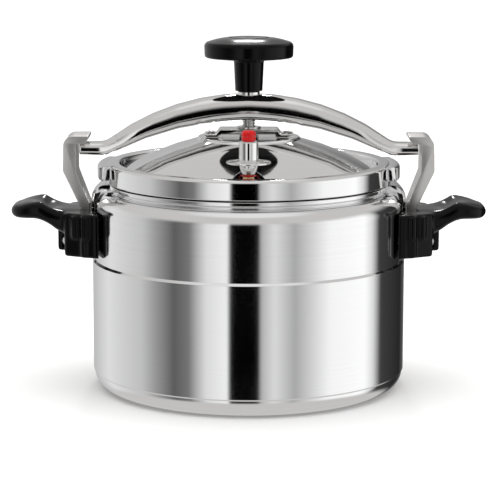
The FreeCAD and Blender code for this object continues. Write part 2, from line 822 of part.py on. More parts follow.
def main():
    doc = FreeCAD.newDocument("pressure_canner")
    make_sheet(doc)
    hook = make_hook(doc)
    handle = make_handle(doc)
    kept = [make_pot(doc), hook, mirrored(doc, hook, "hook_left"), handle, mirrored(doc, handle, "handle_left")]
    kept.extend(make_handle_fixings(doc))
    kept.extend([make_lid(doc), make_gasket(doc), make_bridge(doc), make_rivets(doc)])
    kept.extend(make_vent(doc))
    kept.extend(make_weight(doc))
    kept.extend(make_relief(doc))
    kept.extend(make_screw(doc))
    kept.append(make_washer(doc))
    kept.extend(make_yoke(doc))
    kept.extend(make_rack(doc))
    check(doc, kept)
    export(kept)


main()
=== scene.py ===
"""Looks of a clamp-lid pressure canner, built round its fixed frame.

The file is laid out as an add-on: one operator for each piece or group of like pieces, and one for the stage.
Outlines are in millimetres, in the frame of the part: +Z up, side handles along X, working valve towards -Y.
"""

import json
import math

import bmesh
import bpy
from mathutils import Matrix, Vector


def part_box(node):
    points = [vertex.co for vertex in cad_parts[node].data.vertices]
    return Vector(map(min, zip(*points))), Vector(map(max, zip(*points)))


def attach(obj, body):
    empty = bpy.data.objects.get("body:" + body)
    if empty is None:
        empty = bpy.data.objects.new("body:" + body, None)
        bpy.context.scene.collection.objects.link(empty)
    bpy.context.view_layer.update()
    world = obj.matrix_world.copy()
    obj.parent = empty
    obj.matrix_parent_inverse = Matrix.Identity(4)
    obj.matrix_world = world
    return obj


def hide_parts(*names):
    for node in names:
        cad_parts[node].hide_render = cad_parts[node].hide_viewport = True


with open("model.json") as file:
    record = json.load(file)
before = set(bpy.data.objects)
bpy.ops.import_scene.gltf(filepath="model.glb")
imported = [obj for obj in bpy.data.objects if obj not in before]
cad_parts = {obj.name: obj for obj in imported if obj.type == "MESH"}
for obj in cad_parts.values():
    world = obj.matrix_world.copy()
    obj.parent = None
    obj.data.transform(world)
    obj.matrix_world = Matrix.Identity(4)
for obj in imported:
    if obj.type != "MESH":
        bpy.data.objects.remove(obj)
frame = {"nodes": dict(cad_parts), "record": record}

bl_info = {
    "name": "Pressure canner",
    "version": (1, 0, 0),
    "blender": (4, 5, 0),
    "location": "3D View > Sidebar > Canner",
    "description": "Builds the visible pieces of a clamp-lid pressure canner round its frame",
    "category": "Add Mesh",
}

MM = 0.001
FULL_TURN = 2 * math.pi
UP = Vector((0, 0, 1))
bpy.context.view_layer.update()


def low(node, axis):
    """Lowest coordinate of a node along an axis, in millimetres."""
    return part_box(node)[0]["xyz".index(axis)] / MM


def high(node, axis):
    """Highest coordinate of a node along an axis, in millimetres."""
    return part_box(node)[1]["xyz".index(axis)] / MM


def middle(node, axis):
    return (low(node, axis) + high(node, axis)) / 2


POT_RADIUS = round(high("pot_shell", "y"))
RIM_TOP = high("pot_shell", "z")
LID_TOP = low("lid_bridge", "z")
PLATEAU = round(high("lid_bridge", "x")) + 5
SKIRT_LOW = low("lid_shell", "z")
VALVE_Y = round(middle("weight_body", "y"))
VALVE_FOOT = high("vent_seal", "z")
RELIEF_Y = round(middle("relief_plug", "y"))
RELIEF_TOP = high("relief_plug", "z")
KNOB_TOP = high("knob", "z")
KNOB_LOW = low("knob", "z")
KNOB_RADIUS = round(high("knob", "y"))
YOKE_CROWN = high("yoke_beam", "z")
YOKE_REACH = high("yoke_beam", "x")
HOOK_TOP = high("hook_right", "z")
STUD_Z = round(middle("handle_studs", "z"))


# ---------------------------------------------------------------- sizes and colours a user may change

class CannerSizes(bpy.types.PropertyGroup):
    """Sizes of the finish: how finely pieces are turned and how soft their edges are."""

    turning_steps: bpy.props.IntProperty(
        name="Turning steps", description="Steps round a large turned piece", default=240, min=24, max=720,
    )
    small_turning_steps: bpy.props.IntProperty(
        name="Small turning steps", description="Steps round a small turned piece", default=72, min=12,
        max=240,
    )
    arc_step: bpy.props.FloatProperty(
        name="Arc step", description="Largest angle that one short line of a rounded outline covers",
        default=math.radians(7), subtype="ANGLE",
    )
    screw_pitch: bpy.props.FloatProperty(
        name="Screw pitch", description="Rise of the clamping screw in one turn", default=2 * MM,
        unit="LENGTH",
    )
    moulding_grain: bpy.props.FloatProperty(
        name="Moulding grain", description="Size of the cells that melt the handle's blocks together",
        default=0.8 * MM, unit="LENGTH",
    )
    moulding_passes: bpy.props.IntProperty(
        name="Moulding passes", description="Smoothing passes over the moulded handle", default=14,
        min=0, max=40,
    )


class CannerColours(bpy.types.PropertyGroup):
    """Colours of the metals, mouldings and rubbers."""

    aluminium: bpy.props.FloatVectorProperty(
        name="Aluminium", description="Colour of the polished aluminium", subtype="COLOR",
        default=(0.88, 0.88, 0.885),
    )
    casting: bpy.props.FloatVectorProperty(
        name="Casting", description="Colour of the tumbled hooks", subtype="COLOR",
        default=(0.88, 0.87, 0.85),
    )
    chrome: bpy.props.FloatVectorProperty(
        name="Chrome", description="Colour of the bright plating", subtype="COLOR",
        default=(0.86, 0.855, 0.845),
    )
    steel: bpy.props.FloatVectorProperty(
        name="Steel", description="Colour of nuts, studs and the bridge", subtype="COLOR",
        default=(0.62, 0.62, 0.61),
    )
    brass: bpy.props.FloatVectorProperty(
        name="Brass", description="Colour of the vent pipe and strainer", subtype="COLOR",
        default=(0.78, 0.6, 0.33),
    )
    moulding: bpy.props.FloatVectorProperty(
        name="Moulding", description="Colour of the black handles and knob", subtype="COLOR",
        default=(0.0012, 0.0012, 0.0013),
    )
    red: bpy.props.FloatVectorProperty(
        name="Red rubber", description="Colour of the valve's cap and seal", subtype="COLOR",
        default=(0.62, 0.003, 0.004),
    )
    gasket: bpy.props.FloatVectorProperty(
        name="Gasket", description="Colour of the lid's sealing ring", subtype="COLOR",
        default=(0.78, 0.78, 0.75),
    )


class StudioSettings(bpy.types.PropertyGroup):
    """Floor, lights and camera."""

    distance: bpy.props.FloatProperty(
        name="Distance", description="Level distance from the pot's axis to the camera", default=1.651,
        unit="LENGTH",
    )
    aside: bpy.props.FloatProperty(
        name="Aside", description="How far the camera stands to the right", default=0.0011, unit="LENGTH",
    )
    height: bpy.props.FloatProperty(
        name="Height", description="Height of the camera over the floor", default=0.392, unit="LENGTH",
    )
    tilt: bpy.props.FloatProperty(
        name="Tilt", description="How far the camera looks down", default=math.radians(9.88), subtype="ANGLE",
    )
    roll: bpy.props.FloatProperty(
        name="Roll", description="How far the camera leans", default=math.radians(0.1), subtype="ANGLE",
    )
    lens: bpy.props.FloatProperty(name="Lens", description="Focal length in millimetres", default=156.2)
    floor_size: bpy.props.FloatProperty(
        name="Floor size", description="Side of the floor", default=16.0, unit="LENGTH",
    )
    floor_colour: bpy.props.FloatVectorProperty(
        name="Floor colour", description="Colour of the pale floor", subtype="COLOR",
        default=(0.95, 0.95, 0.95),
    )
    overhead_strength: bpy.props.FloatProperty(
        name="Overhead strength", description="Strength of the soft light over the object", default=1.9,
    )
    glint_power: bpy.props.FloatProperty(
        name="Glint power", description="Power of the small light behind the object", default=3.0,
        unit="POWER",
    )


# ---------------------------------------------------------------- outlines

def arc_points(start, end, radius, step):
    """Points between start and end on the minor arc of a radius; a positive radius turns left."""
    chord = end - start
    half = chord.length / 2
    left = Vector((-chord.y, chord.x)).normalized()
    rise = math.sqrt(max(radius * radius - half * half, 0.0))
    centre = (start + end) / 2 + left * (rise if radius > 0 else -rise)
    turn = math.copysign(2 * math.asin(min(half / abs(radius), 1.0)), radius)
    count = max(1, math.ceil(abs(turn) / step))
    spoke = start - centre
    return [centre + Matrix.Rotation(turn * number / count, 2) @ spoke for number in range(1, count)]


def rounded_corner(before, corner, after, radius):
    """Where a corner's rounding starts and ends, and its signed radius."""
    back = (before - corner).normalized()
    ahead = (after - corner).normalized()
    turn = math.pi - back.angle(ahead)
    reach = radius * math.tan(turn / 2)
    side = back.x * ahead.y - back.y * ahead.x
    return corner + back * reach, corner + ahead * reach, math.copysign(radius, -side)


def fine_line(points, closed=False):
    """A line of short stretches through an outline.

    A point is (across, up), (across, up, radius) with the radius of the arc that ends there,
    or (across, up, 0, rounding) for a corner between two straight lines.
    """
    step = bpy.context.scene.canner_sizes.arc_step
    corners = [Vector(point[:2]) for point in points]
    stops = []
    for number, point in enumerate(points):
        corner = corners[number]
        radius = point[2] if len(point) > 2 else 0
        if len(point) == 4:
            before = corners[number - 1]
            after = corners[(number + 1) % len(points)]
            enter, leave, turning = rounded_corner(before, corner, after, point[3])
            stops.append((enter, radius))
            stops.append((leave, turning))
        else:
            stops.append((corner, radius))
    line = []
    support = 0.3
    for number, (end, radius) in enumerate(stops):
        if number == 0 and not closed:
            line.append(end)
            continue
        start = stops[number - 1][0]
        span = end - start
        if radius:
            line.extend(arc_points(start, end, radius, step))
        elif span.length > 4 * support:
            line.append(start + span.normalized() * support)
            line.append(end - span.normalized() * support)
        line.append(end)
    return line


def height_at(line, across):
    """Height of a line that runs steadily across, at one place."""
    ordered = sorted(line, key=lambda point: point.x)
    for start, end in zip(ordered, ordered[1:]):
        if start.x <= across <= end.x:
            share = (across - start.x) / max(end.x - start.x, 1e-9)
            return start.y + (end.y - start.y) * share
    return ordered[0].y if across < ordered[0].x else ordered[-1].y


# ---------------------------------------------------------------- shaping

def finished(bm, name, body, material, stands_for=(), sharp=30):
    """Makes a piece of a bmesh: welds it, turns its faces outwards, and lets it ride on its body."""
    bmesh.ops.remove_doubles(bm, verts=bm.verts, dist=1e-6)
    bmesh.ops.dissolve_degenerate(bm, edges=bm.edges, dist=1e-7)
    bmesh.ops.recalc_face_normals(bm, faces=bm.faces)
    mesh = bpy.data.meshes.new(name)
    bm.to_mesh(mesh)
    bm.free()
    mesh.shade_smooth()
    mesh.set_sharp_from_angle(angle=math.radians(sharp))
    piece = bpy.data.objects.new(name, mesh)
    bpy.context.scene.collection.objects.link(piece)
    mesh.materials.append(material)
    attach(piece, body)
    if stands_for:
        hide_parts(*stands_for)
    return piece


def turned(points, steps=None, closed=False, x=0.0, y=0.0):
    """A new bmesh of one turned piece: an outline (radius, height) spun once round an upright axis."""
    bm = bmesh.new()
    line = fine_line(points, closed)
    verts = [bm.verts.new((point.x * MM, 0, point.y * MM)) for point in line]
    edges = [bm.edges.new(pair) for pair in zip(verts, verts[1:])]
    if closed:
        edges.append(bm.edges.new((verts[-1], verts[0])))
    bmesh.ops.spin(
        bm, geom=verts + edges, cent=(0, 0, 0), axis=UP, angle=FULL_TURN, use_merge=True,
        steps=steps or bpy.context.scene.canner_sizes.small_turning_steps,
    )
    bmesh.ops.remove_doubles(bm, verts=bm.verts, dist=1e-7)
    if x or y:
        bmesh.ops.translate(bm, verts=bm.verts, vec=(x * MM, y * MM, 0))
    return bm


def add_part(bm, part):
    """Moves one bmesh into another."""
    passing = bpy.data.meshes.new("passing")
    part.to_mesh(passing)
    part.free()
    bm.from_mesh(passing)
    bpy.data.meshes.remove(passing)


def mirror_in_x(bm):
    """Turns a piece of the right side into its twin of the left."""
    bmesh.ops.scale(bm, vec=(-1, 1, 1), verts=bm.verts)


def lofted(bm, loops):
    """Skins closed loops of equal counts one after another, and closes both ends."""
    row = [bm.verts.new(place * MM) for place in loops[0]]
    edges = [bm.edges.new((row[number - 1], row[number])) for number in range(len(row))]
    bm.faces.new(row)
    for loop in loops[1:]:
        grown = bmesh.ops.extrude_edge_only(bm, edges=edges)["geom"]
        fresh = {item for item in grown if isinstance(item, bmesh.types.BMVert)}
        row = [
            next(edge.other_vert(vert) for edge in vert.link_edges if edge.other_vert(vert) in fresh)
            for vert in row
        ]
        for vert, place in zip(row, loop):
            vert.co = place * MM
        edges = [
            item for item in grown if isinstance(item, bmesh.types.BMEdge) and fresh.issuperset(item.verts)
        ]
    bm.faces.new(row)


def extruded(bm, points, thickness, upright=True):
    """Pulls a closed outline out to a thickness, half to each side of its plane."""
    line = fine_line(points, closed=True)
    half = thickness / 2
    if upright:
        places = [Vector((point.x, -half, point.y)) for point in line]
        pull = Vector((0, thickness, 0))
    else:
        places = [Vector((point.x, point.y, -half)) for point in line]
        pull = Vector((0, 0, thickness))
    verts = [bm.verts.new(place * MM) for place in places]
    face = bm.faces.new(verts)
    grown = bmesh.ops.extrude_face_region(bm, geom=[face])
    new_verts = [item for item in grown["geom"] if isinstance(item, bmesh.types.BMVert)]
    bmesh.ops.translate(bm, verts=new_verts, vec=pull * MM)


def soften(bm, width, segments=4, angle=30, edges=None):
    """Rounds the edges that turn by more than an angle."""
    if edges is None:
        limit = math.radians(angle)
        edges = [edge for edge in bm.edges if len(edge.link_faces) == 2 and edge.calc_face_angle(0) > limit]
    bmesh.ops.bevel(
        bm, geom=edges, offset=width * MM, affect="EDGES", segments=segments, profile=0.5, material=-1,
        clamp_overlap=True,
    )


def block(bm, low_corner, high_corner, rounding):
    """A rectangular block between two corners, with rounded edges."""
    first = Vector(low_corner) * MM
    last = Vector(high_corner) * MM
    size = last - first
    place = Matrix.Translation((first + last) / 2) @ Matrix.Diagonal((*size, 1))
    made = bmesh.ops.create_cube(bm, size=1, matrix=place)
    edges = list({edge for vert in made["verts"] for edge in vert.link_edges})
    soften(bm, rounding, 2, edges=edges)


# ---------------------------------------------------------------- materials

class Finish:
    """A node material with one shader, and short ways to wire patterns into it."""

    def __init__(self, name):
        self.material = bpy.data.materials.new(name)
        self.material.use_nodes = True
        self.tree = self.material.node_tree
        self.shader = next(node for node in self.tree.nodes if node.type == "BSDF_PRINCIPLED")
        self.place = self.tree.nodes.new("ShaderNodeTexCoord").outputs["Object"]

    def node(self, kind, **settings):
        made = self.tree.nodes.new(kind)
        for key, setting in settings.items():
            setattr(made, key, setting)
        return made

    def link(self, source, target):
        self.tree.links.new(source, target)

    def set(self, **values):
        """Sets the shader's own sockets, named with underscores for spaces."""
        for key, number in values.items():
            self.shader.inputs[key.replace("_", " ")].default_value = number

    def around_axis(self, y, fineness):
        """Coordinates (radius, height) about an upright axis, so that a pattern runs round the piece."""
        shift = self.node("ShaderNodeMapping")
        shift.inputs["Location"].default_value = (0, -y * MM, 0)
        self.link(self.place, shift.inputs["Vector"])
        parts = self.node("ShaderNodeSeparateXYZ")
        self.link(shift.outputs["Vector"], parts.inputs["Vector"])
        flat = self.node("ShaderNodeCombineXYZ")
        self.link(parts.outputs["X"], flat.inputs["X"])
        self.link(parts.outputs["Y"], flat.inputs["Y"])
        radius = self.node("ShaderNodeVectorMath", operation="LENGTH")
        self.link(flat.outputs["Vector"], radius.inputs[0])
        wide = self.node("ShaderNodeMath", operation="MULTIPLY")
        wide.inputs[1].default_value = fineness
        self.link(radius.outputs["Value"], wide.inputs[0])
        tall = self.node("ShaderNodeMath", operation="MULTIPLY")
        tall.inputs[1].default_value = fineness
        self.link(parts.outputs["Z"], tall.inputs[0])
        joined = self.node("ShaderNodeCombineXYZ")
        self.link(wide.outputs["Value"], joined.inputs["X"])
        self.link(tall.outputs["Value"], joined.inputs["Y"])
        return joined.outputs["Vector"]

    def noise(self, scale, detail, vector=None):
        made = self.node("ShaderNodeTexNoise")
        made.inputs["Scale"].default_value = scale
        made.inputs["Detail"].default_value = detail
        self.link(vector if vector is not None else self.place, made.inputs["Vector"])
        return made.outputs["Fac"]

    def ranged(self, source, low_value, high_value):
        """A pattern stretched from its usual spread to a range of values."""
        made = self.node("ShaderNodeMapRange")
        made.inputs["From Min"].default_value = 0.3
        made.inputs["From Max"].default_value = 0.7
        made.inputs["To Min"].default_value = low_value
        made.inputs["To Max"].default_value = high_value
        self.link(source, made.inputs["Value"])
        return made.outputs["Result"]

    def blended(self, source, first, second):
        """Colour that runs from first to second as a pattern rises."""
        made = self.node("ShaderNodeMix", data_type="RGBA")
        ends = [socket for socket in made.inputs if socket.type == "RGBA"]
        for socket, colour in zip(ends, (first, second)):
            socket.default_value = (*colour, 1)
        self.link(self.ranged(source, 0, 1), made.inputs[0])
        return next(socket for socket in made.outputs if socket.type == "RGBA")

    def bump(self, source, strength, depth):
        made = self.node("ShaderNodeBump")
        made.inputs["Strength"].default_value = strength
        made.inputs["Distance"].default_value = depth * MM
        self.link(source, made.inputs["Height"])
        self.link(made.outputs["Normal"], self.shader.inputs["Normal"])


def shade(colour, factor):
    return tuple(min(channel * factor, 1.0) for channel in colour)


def polished_metal(name, colour, roughness, spread, line_depth, y=0.0, brushing=0.0):
    """Bright metal with faint lines of turning or polishing round its axis."""
    finish = Finish(name)
    finish.set(Metallic=1.0, Anisotropic=brushing, Anisotropic_Rotation=0.25 if brushing else 0.0)
    if brushing:
        grain = finish.node("ShaderNodeTangent", direction_type="RADIAL", axis="Z")
        finish.link(grain.outputs["Tangent"], finish.shader.inputs["Tangent"])
    lines = finish.noise(1.0, 3.0, finish.around_axis(y, 900))
    clouds = finish.noise(14.0, 3.0)
    finish.link(finish.ranged(clouds, roughness, roughness + spread), finish.shader.inputs["Roughness"])
    finish.link(finish.blended(lines, shade(colour, 0.965), colour), finish.shader.inputs["Base Color"])
    finish.bump(lines, 0.25, line_depth)
    return finish.material


def cast_metal(name, colour, roughness):
    """Tumbled casting: softly uneven, a little rougher in its hollows."""
    finish = Finish(name)
    finish.set(Metallic=1.0)
    swell = finish.noise(45.0, 2.0)
    pits = finish.noise(700.0, 2.0)
    finish.link(finish.ranged(swell, roughness, roughness + 0.08), finish.shader.inputs["Roughness"])
    finish.link(finish.blended(pits, shade(colour, 0.96), colour), finish.shader.inputs["Base Color"])
    finish.bump(swell, 0.12, 0.05)
    return finish.material


def black_moulding(colour):
    """Glossy black phenolic with the faint swirl and flow of the mould."""
    finish = Finish("black_moulding")
    finish.set(IOR=1.5, Specular_IOR_Level=0.15)
    flow = finish.noise(60.0, 4.0)
    grain = finish.noise(1400.0, 2.0)
    finish.link(finish.ranged(flow, 0.11, 0.17), finish.shader.inputs["Roughness"])
    finish.link(finish.blended(flow, colour, shade(colour, 1.8)), finish.shader.inputs["Base Color"])
    finish.bump(grain, 0.1, 0.02)
    return finish.material


def soft_rubber(name, colour, roughness, soft_light):
    """Silicone rubber with a fine dull grain."""
    finish = Finish(name)
    finish.set(IOR=1.43, Subsurface_Weight=soft_light, Subsurface_Scale=0.002)
    grain = finish.noise(1500.0, 2.0)
    clouds = finish.noise(120.0, 2.0)
    finish.link(finish.ranged(clouds, roughness, roughness + 0.1), finish.shader.inputs["Roughness"])
    finish.link(finish.blended(clouds, shade(colour, 0.9), colour), finish.shader.inputs["Base Color"])
    finish.bump(grain, 0.15, 0.02)
    return finish.material


MATERIALS = {}


def make_materials(colours):
    """Every finish of the object, by the record's slot names."""
    MATERIALS["polished_aluminium"] = polished_metal("polished_aluminium", colours.aluminium, 0.05, 0.04, 0.004)
    MATERIALS["brushed_aluminium"] = polished_metal(
        "brushed_aluminium", colours.aluminium, 0.09, 0.04, 0.003, brushing=0.7,
    )
    MATERIALS["cast_aluminium"] = cast_metal("cast_aluminium", colours.casting, 0.27)
    MATERIALS["chrome"] = polished_metal("chrome", colours.chrome, 0.06, 0.05, 0.002)
    MATERIALS["valve_chrome"] = polished_metal("valve_chrome", colours.chrome, 0.04, 0.03, 0.003, y=VALVE_Y)
    MATERIALS["steel"] = cast_metal("steel", colours.steel, 0.16)
    MATERIALS["brass"] = polished_metal("brass", colours.brass, 0.18, 0.08, 0.01, y=VALVE_Y)
    MATERIALS["black_moulding"] = black_moulding(colours.moulding)
    MATERIALS["red_silicone"] = soft_rubber("red_silicone", colours.red, 0.14, 0.05)
    MATERIALS["silicone"] = soft_rubber("silicone", colours.gasket, 0.4, 0.3)
    MATERIALS["rack_aluminium"] = polished_metal("rack_aluminium", colours.aluminium, 0.28, 0.1, 0.02)


class CANNER_OT_finishes(bpy.types.Operator):
    """Makes the materials and puts them on the pieces that the frame already shows well"""

    bl_idname = "canner.finishes"
    bl_label = "Finishes"

    def execute(self, context):
        make_materials(context.scene.canner_colours)
        slots = {part["node"]: part["material_slot"] for part in frame["record"]["subparts"]}
        for node, piece in frame["nodes"].items():
            piece.data.materials.clear()
            piece.data.materials.append(MATERIALS[slots[node]])
        return {"FINISHED"}


# ---------------------------------------------------------------- pot

class CANNER_OT_pot(bpy.types.Operator):
    """Turns the pot's stepped shell, with its rounded heel, shoulder and beaded neck"""

    bl_idname = "canner.pot"
    bl_label = "Pot"

    def execute(self, context):
        steps = context.scene.canner_sizes.turning_steps
        step_low = 98.6
        step_high = 101.9
        shoulder = 152.5
        bm = turned([
            (0, 1.0),
            (93, 1.0, 0, 1),
            (94.6, 0, 0, 1),
            (POT_RADIUS - 14.2, 0),
            (POT_RADIUS - 0.9, 13.5, 13.5),
            (POT_RADIUS, 14.6, 0, 0.4),
            (POT_RADIUS, step_low, 0, 0.5),
            (POT_RADIUS - 1.9, step_low + 1.6, 0, 0.4),
            (POT_RADIUS - 2, shoulder - 12.5),
            (POT_RADIUS - 14.5, shoulder, 12.5),
            (105, shoulder + 0.3, 0, 0.6),
            (105.4, 154.1, 0, 0.6),
            (107.3, 154.6, 0, 0.7),
            (107.3, 157.4, 0, 0.7),
            (105, 158.1, 0, 0.5),
            (105, RIM_TOP, 0, 1.2),
            (101.5, RIM_TOP, 0, 1.2),
            (101.5, 149.5),
            (115, 138.5, -16),
            (115, step_high, 0, 1),
            (116.5, step_low - 2, 0, 1),
            (116.5, 15),
            (105.5, 4, -11),
            (0, 4),
        ], steps)
        finished(
            bm, "pot_body", "pot", MATERIALS["brushed_aluminium"], ["pot_shell"], 20
        )
        return {"FINISHED"}


class CANNER_OT_ears(bpy.types.Operator):
    """Pulls out the two beaks that run from the neck over the shoulder to the hooks"""

    bl_idname = "canner.ears"
    bl_label = "Ears"

    def execute(self, context):
        outline = [
            (103, 151),
            (109.5, 151),
            (117.6, 142.5, -12),
            (118.3, 133.8),
            (120.9, 134.2, 0, 1),
            (120.7, 144.6),
            (109, 158, 12.5),
            (103, 158),
        ]
        for side, name in ((1, "right"), (-1, "left")):
            bm = bmesh.new()
            extruded(bm, outline, 44)
            bmesh.ops.subdivide_edges(
                bm, cuts=12,
                edges=[edge for edge in bm.edges if abs(edge.verts[0].co.y - edge.verts[1].co.y) > 10 * MM],
            )
            for vert in bm.verts:
                drop = max(0.0, (156 - vert.co.z / MM) / 22)
                half_width = max(1.6, 22 * math.sqrt(max(0.0, 1 - min(drop, 1) ** 1.7)))
                share = vert.co.y / MM / 22
                vert.co.y = share * half_width * MM
                outer = max(0.0, vert.co.x / MM - 112)
                vert.co.x -= outer * 0.35 * share * share * MM
            soften(bm, 1.2, 3, 50)
            if side < 0:
                mirror_in_x(bm)
            finished(bm, "pot_ear_" + name, "pot", MATERIALS["polished_aluminium"], sharp=40)
        return {"FINISHED"}


class CANNER_OT_hooks(bpy.types.Operator):
    """Cuts the two hooks from an outline, tapers them and rounds their edges"""

    bl_idname = "canner.hooks"
    bl_label = "Hooks"

    def execute(self, context):
        lip_under = 188.6
        outline = [
            (118.9, 104),
            (121.3, 104),
            (121.3, 124),
            (124.2, 129.5, 0, 3),
            (141.4, 168, 0, 6),
            (140.8, HOOK_TOP - 7.5),
            (133.4, HOOK_TOP, 7.5),
            (121.6, HOOK_TOP, 0, 0.8),
            (121.8, 192.2, 0, 0.8),
            (125, lip_under, 0, 2),
            (131.4, lip_under, 0, 1),
            (131.2, 166.5, 0, 5),
            (121.6, 142, 0, 3),
            (121.4, 133),
            (118.9, 129.5),
        ]
        for side, name in ((1, "right"), (-1, "left")):
            bm = bmesh.new()
            extruded(bm, outline, 36)
            for vert in bm.verts:
                height = vert.co.z / MM
                half = 10.5 + 6.5 * min(max((height - 128) / 44, 0), 1)
                if height < 122:
                    half = 17
                vert.co.y = math.copysign(half, vert.co.y) * MM
            soften(bm, 2.2, 5, 60)
            if side < 0:
                mirror_in_x(bm)
            finished(bm, "clamp_hook_" + name, "pot", MATERIALS["cast_aluminium"],
                     ["hook_" + name], 28)
        return {"FINISHED"}


# ---------------------------------------------------------------- handles

def grip_loop(x, top, bottom, half, dish):
    """One cross-section of the grip: a rounded slab with a shallow dish along its top."""
    count = 56
    loop = []
    centre = (top + bottom) / 2
    rise = (top - bottom) / 2
    for number in range(count):
        angle = FULL_TURN * number / count
        across = math.copysign(abs(math.cos(angle)) ** 0.5, math.cos(angle))
        upward = math.copysign(abs(math.sin(angle)) ** 0.55, math.sin(angle))
        height = centre + rise * upward
        if upward > 0:
            height -= dish * max(0.0, 1 - (across / 0.78) ** 2) * upward
        loop.append(Vector((x, half * across, height)))
    return loop


def grip_loops():
    """Cross-sections of the grip from the pot's side to its rounded tip."""
    crown = fine_line([(118, 137.8), (129.5, 138.3), (138, 138.6), (158, 146.3, 38), (176, 141.8, -60)])
    belly = fine_line([(118, 122), (139, 118.6), (147, 123.2), (162, 131.2, -34), (178, 131.2)])
    tip = high("handle_right", "x")
    stations = 44
    start = 120.0
    loops = []
    for number in range(stations + 1):
        share = number / stations
        x = start + (tip - 0.4 - start) * (1 - (1 - share) ** 1.5)
        near_tip = min(max((x - (tip - 6.4)) / 6.2, 0), 0.985)
        close = math.sqrt(1 - near_tip ** 2)
        top = height_at(crown, x)
        bottom = height_at(belly, x)
        centre = (top + bottom) / 2
        top = centre + (top - centre) * close
        bottom = centre + (bottom - centre) * close
        plan_share = min(max((x - 150) / (tip - 150), 0), 1)
        half = 28.5 - 2.5 * min((x - start) / 30, 1)
        half *= math.sqrt(max(1 - (plan_share * 0.97) ** 3.2, 0.02))
        dish = 4.2 * math.exp(-((x - 155) / 9) ** 2)
        loops.append(grip_loop(x, top, bottom, half, dish))
    return loops


class CANNER_OT_handles(bpy.types.Operator):
    """Melts the grip, block, wings, web and flutes of each handle into one moulding"""

    bl_idname = "canner.handles"
    bl_label = "Handles"

    def blocks(self, bm):
        floor = low("handle_right", "z") + 0.1
        top = 137.6
        block(bm, (114, -39, floor), (126.5, 39, top), 1.6)
        block(bm, (122, -20, 121), (140, 20, top), 1.2)
        block(bm, (124, -7, floor + 0.6), (146.6, 7, 125), 1.2)
        for side in (-1, 1):
            wing = [
                (110, 41.3, 0, 1), (116.5, 41.3, 0, 2), (139.8, 29, 0, 2), (139.8, 19, 0, 1), (110, 19, 0, 1),
            ]
            plan = [(point[0], point[1] * side, *point[2:]) for point in wing]
            if side < 0:
                plan.reverse()
            part = bmesh.new()
            extruded(part, plan, top - floor, upright=False)
            bmesh.ops.translate(part, verts=part.verts, vec=(0, 0, (top + floor) / 2 * MM))
            soften(part, 1.5, 2, 60)
            add_part(bm, part)
            for share in (0.3, 0.62):
                x = 116.5 + (139.8 - 116.5) * share
                y = (41.3 + (29 - 41.3) * share) * side
                bmesh.ops.create_cone(
                    bm, cap_ends=True, segments=24, radius1=3.4 * MM, radius2=3.4 * MM, depth=17 * MM,
                    matrix=Matrix.Translation(Vector((x, y, 127.5)) * MM),
                )

    def melted(self, bm, sizes):
        """One skin round all the blocks, smoothed as a moulding is."""
        bmesh.ops.recalc_face_normals(bm, faces=bm.faces)
        mesh = bpy.data.meshes.new("melting")
        bm.to_mesh(mesh)
        bm.free()
        piece = bpy.data.objects.new("melting", mesh)
        bpy.context.scene.collection.objects.link(piece)
        melt = piece.modifiers.new("melt", "REMESH")
        melt.mode = "VOXEL"
        melt.voxel_size = sizes.moulding_grain
        graph = bpy.context.evaluated_depsgraph_get()
        skin = bpy.data.meshes.new_from_object(piece.evaluated_get(graph))
        bpy.data.objects.remove(piece)
        bpy.data.meshes.remove(mesh)
        made = bmesh.new()
        made.from_mesh(skin)
        bpy.data.meshes.remove(skin)
        return made

    def execute(self, context):
        sizes = context.scene.canner_sizes
        bm = bmesh.new()
        lofted(bm, grip_loops())
        self.blocks(bm)
        bm = self.melted(bm, sizes)
        for _ in range(sizes.moulding_passes):
            bmesh.ops.smooth_vert(
                bm, verts=bm.verts, factor=0.5, use_axis_x=True, use_axis_y=True, use_axis_z=True,
            )
        wall = (POT_RADIUS + 0.3) * MM
        for vert in bm.verts:
            reach = math.hypot(vert.co.x, vert.co.y)
            if reach < wall:
                vert.co.x *= wall / reach
                vert.co.y *= wall / reach
        mesh = bpy.data.meshes.new("moulded_handle")
        bm.to_mesh(mesh)
        bm.free()
        for side, name in ((1, "right"), (-1, "left")):
            twin = bmesh.new()
            twin.from_mesh(mesh)
            if side < 0:
                mirror_in_x(twin)
            finished(twin, "moulded_handle_" + name, "pot", MATERIALS["black_moulding"],
                     ["handle_" + name], 60)
        bpy.data.meshes.remove(mesh)
        return {"FINISHED"}


class CANNER_OT_nuts(bpy.types.Operator):
    """Makes the four domed cap nuts that hold the handles"""

    bl_idname = "canner.nuts"
    bl_label = "Cap nuts"

    def execute(self, context):
        tip = high("handle_nuts", "x")
        base = 126.0
        bm = bmesh.new()
        for side in (-1, 1):
            for across in (-13, 13):
                nut = turned([
                    (0, 0), (5.2, 0, 0, 0.4), (5.2, 7.5, 0, 0.4), (4.6, 8, 0, 0.3), (4.6, 11.5),
                    (0, tip - base, 5.2),
                ], 48)
                turn = Matrix.Rotation(math.pi / 2, 4, "Y")
                if side < 0:
                    turn = Matrix.Rotation(-math.pi / 2, 4, "Y")
                place = Matrix.Translation(Vector((side * base, across, STUD_Z)) * MM)
                bmesh.ops.transform(nut, matrix=place @ turn, verts=nut.verts)
                add_part(bm, nut)
        finished(bm, "cap_nuts", "pot", MATERIALS["steel"], ["handle_nuts"])
        return {"FINISHED"}


# ---------------------------------------------------------------- lid

